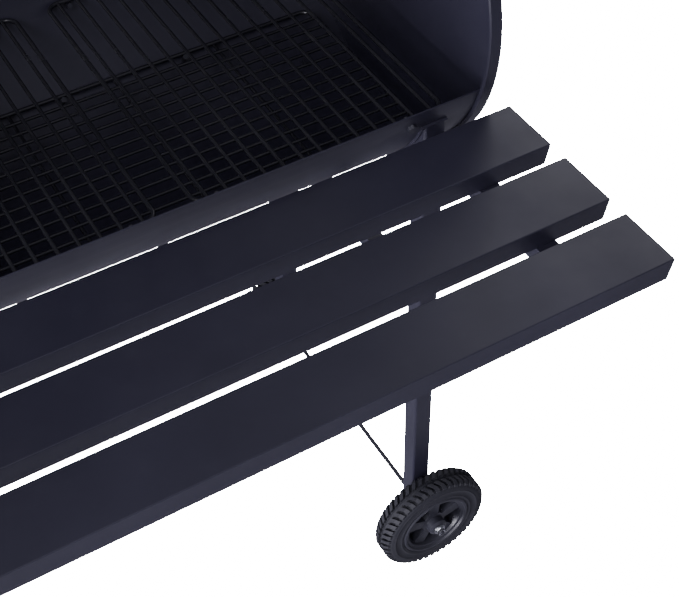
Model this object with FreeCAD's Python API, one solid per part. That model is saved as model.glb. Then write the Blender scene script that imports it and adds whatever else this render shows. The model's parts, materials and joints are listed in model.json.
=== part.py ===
"""Offset smoker: a horizontal barrel on four legs with a side firebox, chimney and front shelf.

Millimetres and degrees.  +X runs along the barrel towards the wheeled end, -Y is the front
where the shelf is, +Z is up.  Angles around a drum are measured in the YZ plane from +Y
(rear) towards +Z (top), so the front is at 180 and the bottom at 270.
"""
import FreeCAD
import Part
import math
import os

V = FreeCAD.Vector

# ---------------------------------------------------------------- driving dimensions
shelf_height = 740.0        # top of the front shelf above the ground
axis_above_shelf = 78.0     # barrel axis above the shelf's top
sheet = 1.5                 # sheet steel of drums and lids
touch = 0.3                 # clearance between curved faces of different pieces

barrel_length = 686.0       # over the two end caps
barrel_radius = 203.0       # outside of the skin
firebox_length = 310.0
firebox_radius = 150.0
firebox_drop = 95.0         # firebox axis below the barrel axis
firebox_gap = 12.0          # space between the two end caps that face each other

rim_depth = 15.0            # end cap's hemmed flange, along the drum
rim_thick = 3.7             # end cap's hemmed flange, radially
rim_round = 1.4

barrel_lip = 196.0          # angle of the skin's front edge
barrel_back = 40.0          # angle of the skin's rear edge
barrel_lid_front = 199.0
barrel_lid_back = 42.0
barrel_lid_open = 100.0     # how far the lid stands open at rest
firebox_lip = 172.0
firebox_back = 58.0
firebox_lid_front = 175.0
firebox_lid_back = 60.0

hinge_lift = 9.0            # hinge axis outside the rim
hinge_behind = 3.5          # hinge axis behind the lid's rear edge, degrees
hinge_width = 48.0
hinge_inset = 120.0         # hinge centre from the drum's end
knuckle_radius = 5.5
hinge_pin_radius = 2.5
running = 0.06              # radial clearance of pins, shafts and hubs
leaf_thick = 2.5
leaf_span = 9.0             # degrees that a leaf covers
knuckle_share = 0.4         # middle knuckle's share of the hinge's width

slat_count = 3
slat_width = 70.0
slat_gap = 22.5
slat_drop = 23.0            # depth of a slat's folded sides
slat_return = 12.0          # inward fold along the bottom of the sides
slat_sheet = 1.2
slat_overhang = 14.0        # slat's end beyond the barrel's end
slat_taper = 5.0            # how far the folded sides are cut back at their ends
slat_bend = 1.1             # outside radius of the long bends
shelf_standoff = 1.0        # rear slat in front of the rim's front

leg_tube = 25.0
leg_wall = 1.5
leg_round = 3.0
leg_inset_x = 61.0          # leg's centre from the barrel's end
leg_inset_y = 27.0          # leg's centre inside the barrel's side
saddle_width = 30.0
saddle_thick = 3.0
saddle_front = 204.0        # the straps under the barrel run between these angles
saddle_back = 336.0
brace_tube = 20.0
foot_brace_height = 150.0
wheel_brace_height = 473.0  # brace between the two legs of the wheeled end
foot_height = 30.0
foot_wall = 2.0
foot_base = 4.0

arm_width = 22.0
arm_height = 20.0
arm_wall = 2.0
arm_reach = 30.0            # arm's end short of the shelf's front edge
arm_out = 4.0               # arm's centre outside its leg's centre
bolt_radius = 2.5
bolt_head_flats = 8.0
bolt_head_height = 3.2
bolt_inset = 6.0            # shelf bolts from the slat's edge

wheel_radius = 78.5
wheel_width = 36.0
wheel_hub_radius = 13.0
wheel_hub_proud = 6.0       # hub's nose beyond the outer face
wheel_rim_radius = 50.0
wheel_rim_wall = 5.0
wheel_web = 6.0
wheel_spokes = 5
spoke_root = 12.0           # spoke's width beside the hub
spoke_tip = 18.0            # spoke's width beside the ring
pocket_margin = 2.5         # web left around each pocket
wheel_recess = 7.0          # web's face below the outer face
tyre_shoulder = 7.0
axle_radius = 3.0
axle_spacer = 5.5           # between a leg and its wheel
washer_thick = 1.6
washer_radius = 8.0
nut_height = 5.5
nut_flats = 10.0
nut_flange_radius = 7.1
nut_flange_height = 1.4
axle_end = 2.0              # axle beyond the nut
leg_below_axle = 14.0

grate_level = -68.0         # cooking grates, from the barrel axis
grate_width = 274.0         # over the centre lines of the end wires
grate_gap = 38.0
grate_bars = 13             # inner bars of one grate
grate_end_share = 0.65      # spacing beside the end wire, in inner spacings
grate_edge_gap = 1.5        # frame's outside from the barrel's wall
frame_wire = 2.5            # radius of frame wires
bar_wire = 2.0              # radius of bars
frame_corner = 14.0
charcoal_level = -145.0
charcoal_wires = 13         # inner wires, along the barrel
charcoal_end_gap = 30.0
charcoal_edge_gap = 8.0
charcoal_ties = 4           # tie wires under the long ones
tie_drop = 2.4              # tie wires' centres below the long ones
firebox_grate_level = -62.0
firebox_grate_wires = 9
firebox_grate_end_gap = 14.0
firebox_grate_edge_gap = 5.0

rest_outer_x = 253.0        # bolts that the cooking grates rest on, near their ends
rest_inner_x = 44.0
rest_charcoal_x = 148.0     # bolts that the charcoal grate rests on
rest_firebox_x = 90.0       # the same in the firebox, from its middle
rest_inward = 4.0           # bolt's end beyond the wire that lies on it
frame_bolt_radius = 3.0
frame_bolt_flats = 10.0
frame_bolt_head = 4.0
frame_nut = 5.0

collar_radius = 80.0        # duct between barrel and firebox
collar_wall = 2.0
collar_flange = 18.0
collar_stub = 8.0           # duct inside each drum
collar_below = 100.0        # duct's axis below the barrel's axis
collar_bolts = 4
collar_bolt_radius = 3.0
collar_bolt_flats = 10.0

chimney_radius = 35.0
chimney_wall = 1.5
chimney_bend = 52.0
chimney_y = 40.0
chimney_z = 55.0            # duct's centre above the barrel axis
chimney_stub = 14.0
chimney_plate = 56.0        # mounting plate's radius
chimney_plate_thick = 2.0
chimney_bolts = 4
chimney_sleeve = 30.0       # elbow's straight end inside the pipe
chimney_top = 455.0         # pipe's top above the barrel axis
cap_thick = 2.0
cap_over = 6.0              # cap beyond the pipe
cap_pivot_radius = 3.0
cap_pivot_out = 9.0         # pivot's axis outside the pipe
cap_boss_height = 22.0
cap_boss_radius = 6.0
cap_tab = 26.0
cap_tab_width = 14.0

stop_width = 22.0
stop_thick = 5.0
stop_inset = 190.0          # lid stop's centre from the barrel's end
stop_base_angle = 12.0
stop_base_span = 8.0
stop_contact = -34.0        # angle on the open lid where the stop meets it
stop_pad = 14.0

handle_length = 300.0
handle_radius = 8.0
handle_out = 46.0           # handle's axis from the lid
handle_angle = 172.0
handle_post_radius = 6.0
handle_post_inset = 28.0
handle_screw_radius = 5.0
handle_screw_height = 3.0
firebox_handle_length = 130.0
firebox_handle_out = 38.0
firebox_handle_angle = 150.0
firebox_handle_radius = 6.0
firebox_post_inset = 14.0
firebox_post_radius = 4.0

gauge_angle = 132.0
gauge_radius = 34.0
gauge_depth = 13.0
gauge_wall = 2.0
gauge_lens = 2.0
gauge_dial = 1.0
gauge_stem_radius = 3.0
gauge_stem = 62.0
gauge_nut_flats = 16.0
gauge_nut_height = 5.0
pointer_length = 24.0
pointer_tail = 7.0
pointer_width = 2.6
pointer_thick = 0.9
pointer_hub = 3.2
pointer_shaft = 1.0
pointer_rise = 2.0
pointer_start = 225.0       # pointer's direction on the dial when cold

vent_below = 45.0           # vent's centre below the firebox axis
vent_holes = 4
vent_hole_radius = 12.0
vent_hole_circle = 34.0
vent_disc_radius = 55.0
vent_disc_thick = 2.0
vent_gap = 0.4
vent_pivot_radius = 3.0
vent_head_radius = 8.0
vent_head_height = 4.0
vent_tab = 22.0
vent_tab_width = 16.0

# ---------------------------------------------------------------- worked out
axis_z = shelf_height + axis_above_shelf
half = barrel_length / 2
skin_inside = barrel_radius - sheet
leg_x = half - leg_inset_x
leg_y = barrel_radius - leg_inset_y
arm_x = leg_x + arm_out
wheel_inner = leg_y + leg_tube / 2 + axle_spacer
wheel_outer = wheel_inner + wheel_width
wheel_z = wheel_radius
firebox_right = -half - firebox_gap
firebox_left = firebox_right - firebox_length
firebox_z = axis_z - firebox_drop
shelf_back = -(barrel_radius + touch + rim_thick + shelf_standoff)
shelf_front = shelf_back - slat_count * slat_width - (slat_count - 1) * slat_gap
slat_half = half + slat_overhang


# ---------------------------------------------------------------- basic shapes
def box(x0, x1, y0, y1, z0, z1):
    """Block between two corners."""
    return Part.makeBox(x1 - x0, y1 - y0, z1 - z0, V(x0, y0, z0))


def rod(start, end, radius):
    """Round bar between two points."""
    way = end - start
    return Part.makeCylinder(radius, way.Length, start, way)


def polar(radius, angle, y=0.0, z=0.0):
    """(y, z) of a point around an axis along X."""
    turn = math.radians(angle)
    return y + radius * math.cos(turn), z + radius * math.sin(turn)


def at(x, radius, angle, y=0.0, z=0.0):
    """Point on a drum's surface."""
    return V(x, *polar(radius, angle, y, z))


def radial(angle):
    """Unit vector pointing out of a drum."""
    return V(0, *polar(1.0, angle))


def prism(points, way):
    """Flat polygon pushed along a vector."""
    wire = Part.makePolygon(points + [points[0]])
    return Part.Face(wire).extrude(way)


def side_prism(outline, x0, x1):
    """Polygon of (y, z) points, pushed from x0 to x1."""
    return prism([V(x0, y, z) for y, z in outline], V(x1 - x0, 0, 0))


def arc(x, radius, a0, a1, z):
    """Arc around a drum's axis."""
    middle = (a0 + a1) / 2
    return Part.Arc(at(x, radius, a0, z=z), at(x, radius, middle, z=z), at(x, radius, a1, z=z)).toShape()


def band(x0, x1, r_in, r_out, a0, a1, z):
    """Piece of a drum's wall between two radii and two angles."""
    edges = [
        arc(x0, r_out, a0, a1, z),
        Part.makeLine(at(x0, r_out, a1, z=z), at(x0, r_in, a1, z=z)),
        arc(x0, r_in, a0, a1, z),
        Part.makeLine(at(x0, r_in, a0, z=z), at(x0, r_out, a0, z=z)),
    ]
    return Part.Face(Part.Wire(Part.__sortEdges__(edges))).extrude(V(x1 - x0, 0, 0))


def tube(start, end, r_out, r_in):
    """Round tube between two points."""
    return rod(start, end, r_out).cut(rod(start, end, r_in))


def hexagon(start, way, flats, height):
    """Six-sided prism standing on a point."""
    way = V(way).normalize()
    side = way.cross(V(1, 0, 0))
    side = side if side.Length > touch else way.cross(V(0, 1, 0))
    side.normalize()
    corner = flats / math.sqrt(3)
    turn = FreeCAD.Rotation(way, 360 / 6)
    points = []
    for _ in range(6):
        points.append(start + side * corner)
        side = turn.multVec(side)
    return prism(points, way * height)


def square_tube(x, y, z0, z1, outer, wall, rounding):
    """Upright square tube with rounded corners."""
    reach = outer / 2
    bar = box(x - reach, x + reach, y - reach, y + reach, z0, z1)
    upright = [e for e in bar.Edges if abs(e.Vertexes[0].Z - e.Vertexes[1].Z) > outer / 10]
    bar = bar.makeFillet(rounding, upright)
    inner = reach - wall
    return bar.cut(box(x - inner, x + inner, y - inner, y + inner, z0, z1))


def union(shapes):
    """One solid of several that touch."""
    result = shapes[0]
    for shape in shapes[1:]:
        result = result.fuse(shape)
    return result.removeSplitter()


def turned(profile, origin, way):
    """Solid of revolution from (radius, along) points about a line."""
    way = V(way).normalize()
    side = way.cross(V(1, 0, 0))
    side = side if side.Length > touch else way.cross(V(0, 0, 1))
    side.normalize()
    points = [origin + side * r + way * a for r, a in profile]
    wire = Part.makePolygon(points + [points[0]])
    return Part.Face(wire).revolve(origin, way, 360)


def bolt(origin, way, radius, flats, head, length, nut=0.0, end=0.0):
    """Hexagon bolt; its head stands on the origin and its shank runs against the way."""
    way = V(way).normalize()
    parts = [hexagon(origin, way, flats, head), rod(origin - way * length, origin, radius)]
    if nut:
        parts.append(hexagon(origin - way * (length - end), way, flats, nut))
    return union(parts)


# ---------------------------------------------------------------- drums
def end_cap(x_out, inward, radius, z):
    """Flat disc with a hemmed flange that wraps over the skin's end."""
    r_in = radius + touch
    r_out = r_in + rim_thick
    profile = [
        (0.0, 0.0),
        (r_out - rim_round, 0.0),
        (r_out, rim_round),
        (r_out, rim_depth - rim_round),
        (r_out - rim_round, rim_depth),
        (r_in, rim_depth),
        (r_in, sheet),
        (0.0, sheet),
    ]
    return turned(profile, V(x_out, 0, z), V(inward, 0, 0))


def skin(x0, x1, radius, back, lip, z):
    """Drum wall from its rear edge down under and up to its front lip."""
    return band(x0 + sheet, x1 - sheet, radius - sheet, radius, lip, back + 360, z)


def lid_shell(x0, x1, radius, back, front, z):
    """Curved lid that lies over the two flanges."""
    r_in = radius + touch + rim_thick + touch
    return band(x0, x1, r_in, r_in + sheet, back, front, z)


def hinge_axis(radius, back, z):
    """(y, z) of a lid's hinge."""
    return polar(radius + touch + rim_thick + hinge_lift, back - hinge_behind, 0, z)


def knuckle(x0, x1, y, z, way_angle, reach):
    """Hinge knuckle with a web of the given length towards its leaf."""
    turn = math.radians(way_angle)
    along = V(0, math.cos(turn), math.sin(turn))
    across = V(0, -math.sin(turn), math.cos(turn)) * (leaf_thick / 2)
    centre = V(x0, y, z)
    web = prism([centre + across, centre + along * reach + across,
                 centre + along * reach - across, centre - across], V(x1 - x0, 0, 0))
    barrel = rod(centre, V(x1, y, z), knuckle_radius)
    bore = rod(centre, V(x1, y, z), hinge_pin_radius + running)
    return barrel.fuse(web).cut(bore)


def way_to(y, z, target):
    """Angle and distance from a hinge axis to a (y, z) point."""
    dy, dz = target[0] - y, target[1] - z
    return math.degrees(math.atan2(dz, dy)), math.hypot(dy, dz)


def hinge(x, radius, back, z):
    """Fixed leaf, moving leaf and pin of one hinge, lid closed."""
    y, hz = hinge_axis(radius, back, z)
    x0, x1 = x - hinge_width / 2, x + hinge_width / 2
    middle = hinge_width * knuckle_share / 2
    low = back - hinge_behind - 2
    skin_leaf = band(x0, x1, radius, radius + leaf_thick, low - leaf_span, low, z)
    lid_face = radius + 2 * touch + rim_thick + sheet
    high = back + 1
    lid_leaf = band(x0, x1, lid_face, lid_face + leaf_thick, high, high + leaf_span, z)
    fixed_way = way_to(y, hz, polar(radius + leaf_thick / 2, low - 1, 0, z))
    moving_way = way_to(y, hz, polar(lid_face + leaf_thick / 2, high + 1, 0, z))
    gap = touch / 2
    fixed = union([skin_leaf, knuckle(x0, x - middle - gap, y, hz, *fixed_way),
                   knuckle(x + middle + gap, x1, y, hz, *fixed_way)])
    clear = rod(V(x0, 0, z), V(x1, 0, z), radius)
    fixed = fixed.cut(clear)
    moving = union([lid_leaf, knuckle(x - middle + gap, x + middle - gap, y, hz, *moving_way)])
    moving = moving.cut(rod(V(x0, 0, z), V(x1, 0, z), lid_face))
    head = hinge_pin_radius + 1
    pin = union([rod(V(x0 - 1, y, hz), V(x1 + 1, y, hz), hinge_pin_radius),
                 rod(V(x0 - 2, y, hz), V(x0 - 1, y, hz), head),
                 rod(V(x1 + 1, y, hz), V(x1 + 2, y, hz), head)])
    return fixed, moving, pin


def rest_bolt(x, wire_y, level, z, rear, radius, head=True):
    """Bolt through a drum's wall under a grate's wire, or a headless stud set in the wall."""
    reach = math.hypot(wire_y, level)
    below = math.asin((frame_wire + frame_bolt_radius + touch) / reach)
    angle = math.degrees(math.atan2(level, wire_y) - below)
    angle = angle if rear else 180 - angle
    length = radius - reach + frame_wire + rest_inward
    if not head:
        return rod(at(x, radius - length, angle, z=z), at(x, radius - sheet / 2, angle, z=z),
                   frame_bolt_radius)
    return bolt(at(x, radius, angle, z=z), radial(angle), frame_bolt_radius, frame_bolt_flats,
                frame_bolt_head, length)


# ---------------------------------------------------------------- wire grates
def wire_frame(x0, x1, y_half, z, corner):
    """Round wire bent to a rectangle with rounded corners."""
    mid = corner * (1 - math.sqrt(0.5))
    corners = [(x0, -y_half, 1, 1), (x1, -y_half, -1, 1), (x1, y_half, -1, -1), (x0, y_half, 1, -1)]
    edges = []
    ends = []
    for index, (x, y, sx, sy) in enumerate(corners):
        beside = V(x + sx * corner, y, z)
        along = V(x, y + sy * corner, z)
        centre = V(x + sx * mid, y + sy * mid, z)
        first, last = (along, beside) if index % 2 == 0 else (beside, along)
        edges.append(Part.Arc(first, centre, last).toShape())
        ends.append((first, last))
    for index in range(4):
        edges.append(Part.makeLine(ends[index][1], ends[(index + 1) % 4][0]))
    path = Part.Wire(Part.__sortEdges__(edges))
    profile = Part.Wire(Part.makeCircle(frame_wire, ends[0][1], V(1, 0, 0)))
    return path.makePipe(Part.Face(profile))


def grate_half(wall, level, gap):
    """Half the width of a grate's frame, over its wire's centre line."""
    return math.sqrt(wall ** 2 - level ** 2) - gap - frame_wire


def cooking_grate(side):
    """One of the two cooking grates; side is -1 for the left and 1 for the right."""
    z = axis_z + grate_level
    y_half = grate_half(skin_inside, grate_level, grate_edge_gap)
    x0 = grate_gap / 2
    x1 = x0 + grate_width
    pitch = grate_width / (grate_bars - 1 + 2 * grate_end_share)
    bars = [wire_frame(x0, x1, y_half, z, frame_corner)]
    for index in range(grate_bars):
        x = x0 + pitch * (grate_end_share + index)
        bars.append(rod(V(x, -y_half, z), V(x, y_half, z), bar_wire))
    grate = union(bars)
    return grate if side > 0 else grate.mirror(V(0, 0, 0), V(1, 0, 0))


def long_grate(x0, x1, y_half, z, wires, ties):
    """Grate with its wires along the drum and tie wires under them."""
    parts = [wire_frame(x0, x1, y_half, z, frame_corner)]
    pitch = 2 * y_half / (wires + 1)
    for index in range(wires):
        y = -y_half + pitch * (index + 1)
        parts.append(rod(V(x0, y, z), V(x1, y, z), bar_wire))
    step = (x1 - x0) / (ties + 1)
    for index in range(ties):
        x = x0 + step * (index + 1)
        parts.append(rod(V(x, -y_half, z - tie_drop), V(x, y_half, z - tie_drop), bar_wire))
    return union(parts)


def charcoal_grate():
    """Grate that holds the coals in the barrel."""
    y_half = grate_half(skin_inside, charcoal_level, charcoal_edge_gap)
    reach = half - sheet - charcoal_end_gap
    return long_grate(-reach, reach, y_half, axis_z + charcoal_level, charcoal_wires, charcoal_ties)


def firebox_grate():
    """Grate that holds the fire in the firebox."""
    y_half = grate_half(firebox_radius - sheet, firebox_grate_level, firebox_grate_edge_gap)
    gap = sheet + firebox_grate_end_gap
    return long_grate(firebox_left + gap, firebox_right - gap, y_half,
                      firebox_z + firebox_grate_level, firebox_grate_wires, 2)


# ---------------------------------------------------------------- shelf
def slat(index):
    """Folded slat of the front shelf, counted from the barrel outwards."""
    back = shelf_back - index * (slat_width + slat_gap)
    front = back - slat_width
    top, low = shelf_height, shelf_height - slat_drop
    solid = box(-slat_half, slat_half, front, back, low, top)
    long_top = [e for e in solid.Edges
                if e.Length > slat_half and abs(e.CenterOfMass.z - top) < touch]
    solid = solid.makeFillet(slat_bend, long_top)
    inside = box(-slat_half, slat_half, front + slat_sheet, back - slat_sheet,
                 low + slat_sheet, top - slat_sheet)
    mouth = box(-slat_half, slat_half, front + slat_return, back - slat_return, low, top - slat_sheet)
    solid = solid.cut(inside).cut(mouth)
    for end in (-1, 1):
        tip, root = end * slat_half, end * (slat_half - slat_taper)
        wedge = prism([V(tip, front, top - slat_sheet), V(tip, front, low),
                       V(root, front, low)], V(0, slat_width, 0))
        solid = solid.cut(wedge)
    return solid


def shelf_arm(side):
    """Channel arm that carries the slats, open below, welded to a front leg."""
    x = side * arm_x
    top = shelf_height - slat_drop
    y0, y1 = shelf_front + arm_reach, -(leg_y + leg_tube / 2)
    reach = arm_width / 2
    arm = box(x - reach, x + reach, y0, y1, top - arm_height, top)
    return arm.cut(box(x - reach + arm_wall, x + reach - arm_wall, y0, y1,
                       top - arm_height, top - arm_wall))


def shelf_bolt_places():
    """(x, y) of every bolt between a slat's bottom fold and an arm."""
    places = []
    for index in range(slat_count):
        back = shelf_back - index * (slat_width + slat_gap)
        for y in (back - bolt_inset, back - slat_width + bolt_inset):
            if shelf_front + arm_reach < y < -(leg_y + leg_tube / 2):
                places += [(-arm_x, y), (arm_x, y)]
    return places


def shelf_bolts():
    """Bolts through the slats' bottom folds and the arms."""
    under = shelf_height - slat_drop - arm_wall
    length = arm_wall + slat_sheet + bolt_head_height + 1
    return [bolt(V(x, y, under), V(0, 0, -1), bolt_radius, bolt_head_flats, bolt_head_height,
                 length, bolt_head_height, 1) for x, y in shelf_bolt_places()]


def shelf_bolt_holes(shape):
    """The same bolts' holes, cut from a slat or an arm."""
    for x, y in shelf_bolt_places():
        low = V(x, y, shelf_height - slat_drop - arm_height)
        high = V(x, y, shelf_height - slat_drop + slat_sheet + touch)
        shape = shape.cut(rod(low, high, bolt_radius + running))
    return shape


# ---------------------------------------------------------------- legs, feet, wheels
def leg(side_x, side_y):
    """Square tube leg, its top cut to the strap under the barrel."""
    low = foot_base if side_x < 0 else wheel_z - leg_below_axle
    x, y = side_x * leg_x, side_y * leg_y
    post = square_tube(x, y, low, axis_z, leg_tube, leg_wall, leg_round)
    room = rod(V(x - leg_tube, 0, axis_z), V(x + leg_tube, 0, axis_z),
               barrel_radius + saddle_thick)
    post = post.cut(room)
    post = max(post.Solids, key=lambda s: s.Volume)
    if side_x > 0:
        hole = rod(V(x, y - leg_tube, wheel_z), V(x, y + leg_tube, wheel_z), axle_radius + running)
        post = post.cut(hole)
    return post


def saddle(side):
    """Strap under the barrel that two legs are welded to."""
    x = side * leg_x
    return band(x - saddle_width / 2, x + saddle_width / 2, barrel_radius,
                barrel_radius + saddle_thick, saddle_front, saddle_back, axis_z)


def saddle_bolts():
    """Bolts that hold the barrel in its straps."""
    solids = []
    depth = saddle_thick + sheet + frame_nut + 1
    for side in (-1, 1):
        for angle in (245.0, 295.0):
            solids.append(bolt(at(side * leg_x, barrel_radius + saddle_thick, angle, z=axis_z),
                               radial(angle), frame_bolt_radius, frame_bolt_flats,
                               frame_bolt_head, depth, frame_nut, 1))
    return solids


def leg_brace(side, height):
    """Square tube between the two legs of one end."""
    reach = brace_tube / 2
    y = leg_y - leg_tube / 2
    x = side * leg_x
    bar = box(x - reach, x + reach, -y, y, height - reach, height + reach)
    inner = reach - leg_wall
    return bar.cut(box(x - inner, x + inner, -y, y, height - inner, height + inner))


def foot_cap(side_y):
    """Plastic cap on a leg's end."""
    reach = leg_tube / 2 + foot_wall
    x, y = -leg_x, side_y * leg_y
    cup = box(x - reach, x + reach, y - reach, y + reach, 0, foot_height)
    upright = [e for e in cup.Edges if abs(e.Vertexes[0].Z - e.Vertexes[1].Z) > foot_wall]
    cup = cup.makeFillet(leg_round, upright)
    inner = leg_tube / 2
    pocket = box(x - inner, x + inner, y - inner, y + inner, foot_base, foot_height)
    upright = [e for e in pocket.Edges if abs(e.Vertexes[0].Z - e.Vertexes[1].Z) > foot_wall]
    return cup.cut(pocket.makeFillet(leg_round, upright))


def axle():
    """Rod through both legs and wheels."""
    end = wheel_outer + wheel_hub_proud + washer_thick + nut_height + axle_end
    return rod(V(leg_x, -end, wheel_z), V(leg_x, end, wheel_z), axle_radius)


def axle_washers():
    """Spacer and outer washer of each wheel."""
    solids = []
    for side in (-1, 1):
        spans = [(leg_y + leg_tube / 2, axle_spacer - touch),
                 (wheel_outer + wheel_hub_proud + touch, washer_thick - touch)]
        for start, length in spans:
            solids.append(tube(V(leg_x, side * start, wheel_z),
                               V(leg_x, side * (start + length), wheel_z),
                               washer_radius, axle_radius))
    return solids


def axle_nuts():
    """Flanged nuts on the axle's ends."""
    solids = []
    for side in (-1, 1):
        start = V(leg_x, side * (wheel_outer + wheel_hub_proud + washer_thick), wheel_z)
        way = V(0, side, 0)
        nut = union([hexagon(start, way, nut_flats, nut_height),
                     rod(start, start + way * nut_flange_height, nut_flange_radius)])
        solids.append(nut.cut(rod(start, start + way * nut_height, axle_radius)))
    return solids


def tyre(side):
    """Ring of the wheel's tread and side walls."""
    w = wheel_width
    profile = [
        (wheel_rim_radius, 0.0),
        (wheel_radius - tyre_shoulder, 0.0),
        (wheel_radius, tyre_shoulder),
        (wheel_radius, w - tyre_shoulder),
        (wheel_radius - tyre_shoulder, w),
        (wheel_rim_radius, w),
    ]
    return turned(profile, V(leg_x, side * wheel_inner, wheel_z), V(0, side, 0))


def wheel_rim(side):
    """Moulded centre of a wheel: ring, web with pockets, and hub."""
    origin = V(leg_x, side * wheel_inner, wheel_z)
    way = V(0, side, 0)
    web_out = wheel_width - wheel_recess
    inner = wheel_rim_radius - wheel_rim_wall
    parts = [
        tube(origin, origin + way * wheel_width, wheel_rim_radius, inner),
        rod(origin + way * (web_out - wheel_web), origin + way * web_out, inner),
        rod(origin, origin + way * (wheel_width + wheel_hub_proud), wheel_hub_radius),
    ]
    solid = union(parts)
    far = inner - pocket_margin
    bound = rod(origin, origin + way * wheel_width, far)
    for index in range(wheel_spokes):
        corners = []
        for step, hand in ((index, 1), (index + 1, -1)):
            turn = math.radians(90 + 360 / wheel_spokes * step)
            along = V(math.cos(turn), 0, math.sin(turn))
            across = V(-math.sin(turn), 0, math.cos(turn)) * (hand / 2)
            near = wheel_hub_radius + pocket_margin
            pair = [origin + along * near + across * spoke_root,
                    origin + along * (2 * far) + across * spoke_tip]
            corners += pair if hand > 0 else pair[::-1]
        solid = solid.cut(prism(corners, way * wheel_width).common(bound))
    bore = rod(origin, origin + way * (wheel_width + wheel_hub_proud), axle_radius + running)
    return solid.cut(bore)


# ---------------------------------------------------------------- lid fittings
def lid_handle(length, out, angle, radius, face, x, z):
    """Round bar in front of a lid."""
    return rod(at(x - length / 2, face + out, angle, z=z), at(x + length / 2, face + out, angle, z=z), radius)


def handle_posts(length, inset, out, angle, radius, bar, face, x, z):
    """Two posts between a lid and its handle."""
    solids = []
    for side in (-1, 1):
        px = x + side * (length / 2 - inset)
        post = rod(at(px, face - 1, angle, z=z), at(px, face + out, angle, z=z), radius)
        post = post.cut(rod(V(px - radius - 1, 0, z), V(px + radius + 1, 0, z), face))
        grip = rod(at(px - radius - 1, face + out, angle, z=z),
                   at(px + radius + 1, face + out, angle, z=z), bar)
        solids.append(post.cut(grip))
    return solids


def handle_screws(length, inset, angle, inside, x, z):
    """Screw heads of the posts on a lid's inner face."""
    solids = []
    for side in (-1, 1):
        px = x + side * (length / 2 - inset)
        head = rod(at(px, inside - handle_screw_height, angle, z=z),
                   at(px, inside + 1, angle, z=z), handle_screw_radius)
        ring = tube(V(px - 2 * handle_screw_radius, 0, z), V(px + 2 * handle_screw_radius, 0, z),
                    inside + sheet, inside)
        solids.append(head.cut(ring))
    return solids


def gauge(face, inside):
    """Thermometer on the barrel's lid: case, dial, pointer, lens and fixing nut."""
    way = radial(gauge_angle)
    base = at(0, face, gauge_angle, z=axis_z) + way * touch
    room = gauge_depth - gauge_lens
    cup = rod(base, base + way * gauge_depth, gauge_radius)
    cup = cup.cut(rod(base + way * gauge_wall, base + way * gauge_depth, gauge_radius - gauge_wall))
    tip = base - way * gauge_stem
    stem = rod(tip, base, gauge_stem_radius)
    case = union([cup, stem])
    dial_z = base + way * gauge_wall
    inner = gauge_radius - gauge_wall
    dial = rod(dial_z, dial_z + way * gauge_dial, inner)
    shaft_end = dial_z + way * (gauge_dial + pointer_rise + pointer_thick)
    dial = dial.cut(rod(dial_z, shaft_end, pointer_shaft))
    case = case.fuse(rod(dial_z, shaft_end, pointer_shaft))
    lens = rod(base + way * room, base + way * gauge_depth, inner)
    up = V(0, *polar(1.0, gauge_angle - 90))
    turn = math.radians(pointer_start)
    tip_way = V(1, 0, 0) * math.cos(turn) + up * math.sin(turn)
    side_way = V(1, 0, 0) * -math.sin(turn) + up * math.cos(turn)
    level = dial_z + way * (gauge_dial + pointer_rise)
    wide = pointer_width / 2
    needle = prism([level + tip_way * pointer_length, level + side_way * wide,
                    level - tip_way * pointer_tail + side_way * wide,
                    level - tip_way * pointer_tail - side_way * wide,
                    level - side_way * wide], way * pointer_thick)
    hub = rod(level, level + way * pointer_thick, pointer_hub)
    needle = needle.fuse(hub).removeSplitter()
    needle = needle.cut(rod(dial_z, shaft_end, pointer_shaft + running))
    nut_top = at(0, inside, gauge_angle, z=axis_z) - way * touch
    nut = hexagon(nut_top, way * -1, gauge_nut_flats, gauge_nut_height)
    nut = nut.cut(rod(nut_top - way * gauge_nut_height, nut_top + way, gauge_stem_radius))
    return case, dial, needle, lens, nut


def lid_stop(side):
    """Bracket behind the barrel that the open lid leans on."""
    y_h, z_h = hinge_axis(barrel_radius, barrel_lid_back, axis_z)
    turn = FreeCAD.Rotation(V(1, 0, 0), -barrel_lid_open)
    centre = V(0, y_h, z_h) + turn.multVec(V(0, -y_h, axis_z - z_h))
    face = barrel_radius + 2 * touch + rim_thick + sheet
    contact = centre + V(0, *polar(face + touch, stop_contact))
    out = V(0, *polar(1.0, stop_contact))
    x = side * (half - stop_inset)
    x0, x1 = x - stop_width / 2, x + stop_width / 2
    base = band(x0, x1, barrel_radius, barrel_radius + stop_thick,
                stop_base_angle - stop_base_span, stop_base_angle + stop_base_span, axis_z)
    foot = at(x0, barrel_radius + stop_thick / 2, stop_base_angle, z=axis_z)
    head = V(x0, contact.y, contact.z) + out * (stop_thick / 2)
    along = V(0, -out.z, out.y)
    way = (head - foot).normalize()
    across = V(0, -way.z, way.y) * (stop_thick / 2)
    upright = prism([foot + across, head + across, head - across, foot - across],
                    V(stop_width, 0, 0))
    reach = stop_pad / 2
    thick = out * stop_thick
    start = V(x0, contact.y, contact.z)
    pad = prism([start + along * reach, start + along * reach + thick,
                 start - along * reach + thick, start - along * reach], V(stop_width, 0, 0))
    piece = union([base, upright, pad])
    piece = piece.cut(rod(V(x0, centre.y, centre.z), V(x1, centre.y, centre.z), face + touch))
    return piece.cut(rod(V(x0, 0, axis_z), V(x1, 0, axis_z), barrel_radius))


# ---------------------------------------------------------------- chimney, duct and vent
def collar_axis(x):
    """Point on the duct's axis."""
    return V(x, 0, axis_z - collar_below)


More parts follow.
